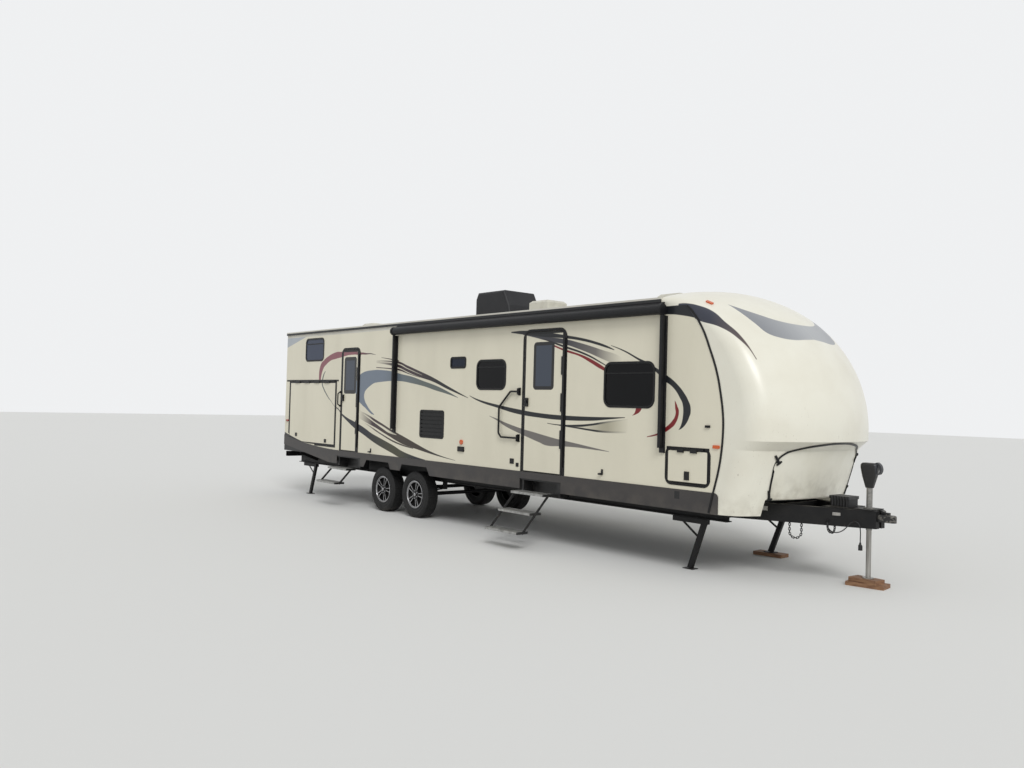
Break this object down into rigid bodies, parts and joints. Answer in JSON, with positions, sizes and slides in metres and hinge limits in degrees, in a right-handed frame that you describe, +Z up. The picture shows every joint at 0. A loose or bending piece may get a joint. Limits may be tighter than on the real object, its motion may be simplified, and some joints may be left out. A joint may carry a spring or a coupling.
{
  "type": "travel caravan with slide-out rooms",
  "caption": "Long towed caravan with a bulging front cap, slide-out rooms, doors, a kitchen hatch, an awning and steps",
  "frame": {"origin": "Centre of the whole part's box in plan, on the ground under the tyres.", "axes": "+X points to the hitch, +Y to the road side with the slide-out rooms, +Z up. The doors are at -Y."},
  "size_m": [12.4, 3.825, 3.8],
  "materials": {
    "shell_white": "plain",
    "cap_white": "plain",
    "roof_white": "plain",
    "skirt_charcoal": "plain",
    "frame_black": "plain",
    "axle_steel": "plain",
    "trim_black": "plain",
    "liner_grey": "plain",
    "sheet_black": "plain",
    "door_white": "plain",
    "smoked_glass": "plain",
    "tyre_black": "plain",
    "alloy": "plain",
    "awning_black": "plain",
    "arm_white": "plain",
    "unit_grey": "plain",
    "vent_white": "plain",
    "lamp_amber": "plain",
    "step_black": "plain",
    "jack_black": "plain",
    "leg_steel": "plain",
    "timber": "plain",
    "box_black": "plain",
    "floor_board": "plain",
    "cord_black": "plain",
    "chain_zinc": "plain"
  },
  "bodies": {
    "caravan": {"chassis_frame": "frame_black", "underbelly": "sheet_black", "tongue_frame": "frame_black", "hitch_coupler": "frame_black", "tongue_jack": "jack_black", "wood_blocks": "timber", "battery_box": "box_black", "stabilisers": "frame_black", "running_gear": "axle_steel", "floor": "floor_board", "wall_right": "shell_white", "wall_left": "shell_white", "wall_rear": "shell_white", "roof": "roof_white", "front_cap": "cap_white", "propane_cover": "cap_white", "skirts": "skirt_charcoal", "frames": "trim_black", "window_glass": "smoked_glass", "awning": "awning_black", "air_conditioner": "unit_grey", "roof_vents": "vent_white", "entry_steps": "step_black", "lamps": "lamp_amber", "bay_liners": "liner_grey", "safety_chains": "chain_zinc", "tow_cord": "cord_black", "tow_plug": "trim_black"},
    "main_door": {"main_door": "door_white", "main_door_glass": "smoked_glass"},
    "rear_door": {"rear_door": "door_white", "rear_door_glass": "smoked_glass"},
    "kitchen_hatch": {"kitchen_hatch": "door_white"},
    "storage_door_right": {"storage_door_right": "door_white"},
    "storage_door_left": {"storage_door_left": "door_white"},
    "grab_handle": {"grab_handle": "arm_white"},
    "slide_living": {"slide_living": "shell_white", "slide_living_glass": "smoked_glass"},
    "slide_bedroom": {"slide_bedroom": "shell_white", "slide_bedroom_glass": "smoked_glass"},
    "jack_leg": {"jack_leg": "leg_steel"},
    "wheel_rear_right": {"tyre_rear_right": "tyre_black", "rim_rear_right": "alloy"},
    "wheel_rear_left": {"tyre_rear_left": "tyre_black", "rim_rear_left": "alloy"},
    "wheel_front_right": {"tyre_front_right": "tyre_black", "rim_front_right": "alloy"},
    "wheel_front_left": {"tyre_front_left": "tyre_black", "rim_front_left": "alloy"}
  },
  "joints": [
    {"name": "main_door_hinge", "type": "hinge", "parent": "caravan", "child": "main_door", "pos_m": [2.179, -1.234, 1.9765], "axis": [0, 0, 1], "range_deg": [0, 165]},
    {"name": "rear_door_hinge", "type": "hinge", "parent": "caravan", "child": "rear_door", "pos_m": [-3.201, -1.234, 1.9255], "axis": [0, 0, 1], "range_deg": [0, 165]},
    {"name": "kitchen_hatch_hinge", "type": "hinge", "parent": "caravan", "child": "kitchen_hatch", "pos_m": [-4.959, -1.234, 2.284], "axis": [-1, 0, 0], "range_deg": [0, 100]},
    {"name": "storage_door_right_hinge", "type": "hinge", "parent": "caravan", "child": "storage_door_right", "pos_m": [4.2845, -1.234, 1.459], "axis": [-1, 0, 0], "range_deg": [0, 165]},
    {"name": "storage_door_left_hinge", "type": "hinge", "parent": "caravan", "child": "storage_door_left", "pos_m": [4.2845, 1.234, 1.459], "axis": [1, 0, 0], "range_deg": [0, 165]},
    {"name": "grab_handle_hinge", "type": "hinge", "parent": "caravan", "child": "grab_handle", "pos_m": [1.26, -1.254, 1.786], "axis": [0, 0, 1], "range_deg": [0, 100]},
    {"name": "slide_living_slide", "type": "slide", "parent": "caravan", "child": "slide_living", "axis": [0, -1, 0], "range_m": [0, 0.644]},
    {"name": "slide_bedroom_slide", "type": "slide", "parent": "caravan", "child": "slide_bedroom", "axis": [0, -1, 0], "range_m": [0, 0.644]},
    {"name": "jack_leg_slide", "type": "slide", "parent": "caravan", "child": "jack_leg", "axis": [0, 0, 1], "range_m": [0, 0.4]},
    {"name": "wheel_rear_right_spin", "type": "hinge", "parent": "caravan", "child": "wheel_rear_right", "pos_m": [-2.411, -1.0325, 0.385], "axis": [0, 1, 0], "continuous": true},
    {"name": "wheel_rear_left_spin", "type": "hinge", "parent": "caravan", "child": "wheel_rear_left", "pos_m": [-2.411, 1.0325, 0.385], "axis": [0, 1, 0], "continuous": true},
    {"name": "wheel_front_right_spin", "type": "hinge", "parent": "caravan", "child": "wheel_front_right", "pos_m": [-1.431, -1.0325, 0.385], "axis": [0, 1, 0], "continuous": true},
    {"name": "wheel_front_left_spin", "type": "hinge", "parent": "caravan", "child": "wheel_front_left", "pos_m": [-1.431, 1.0325, 0.385], "axis": [0, 1, 0], "continuous": true}
  ]
}
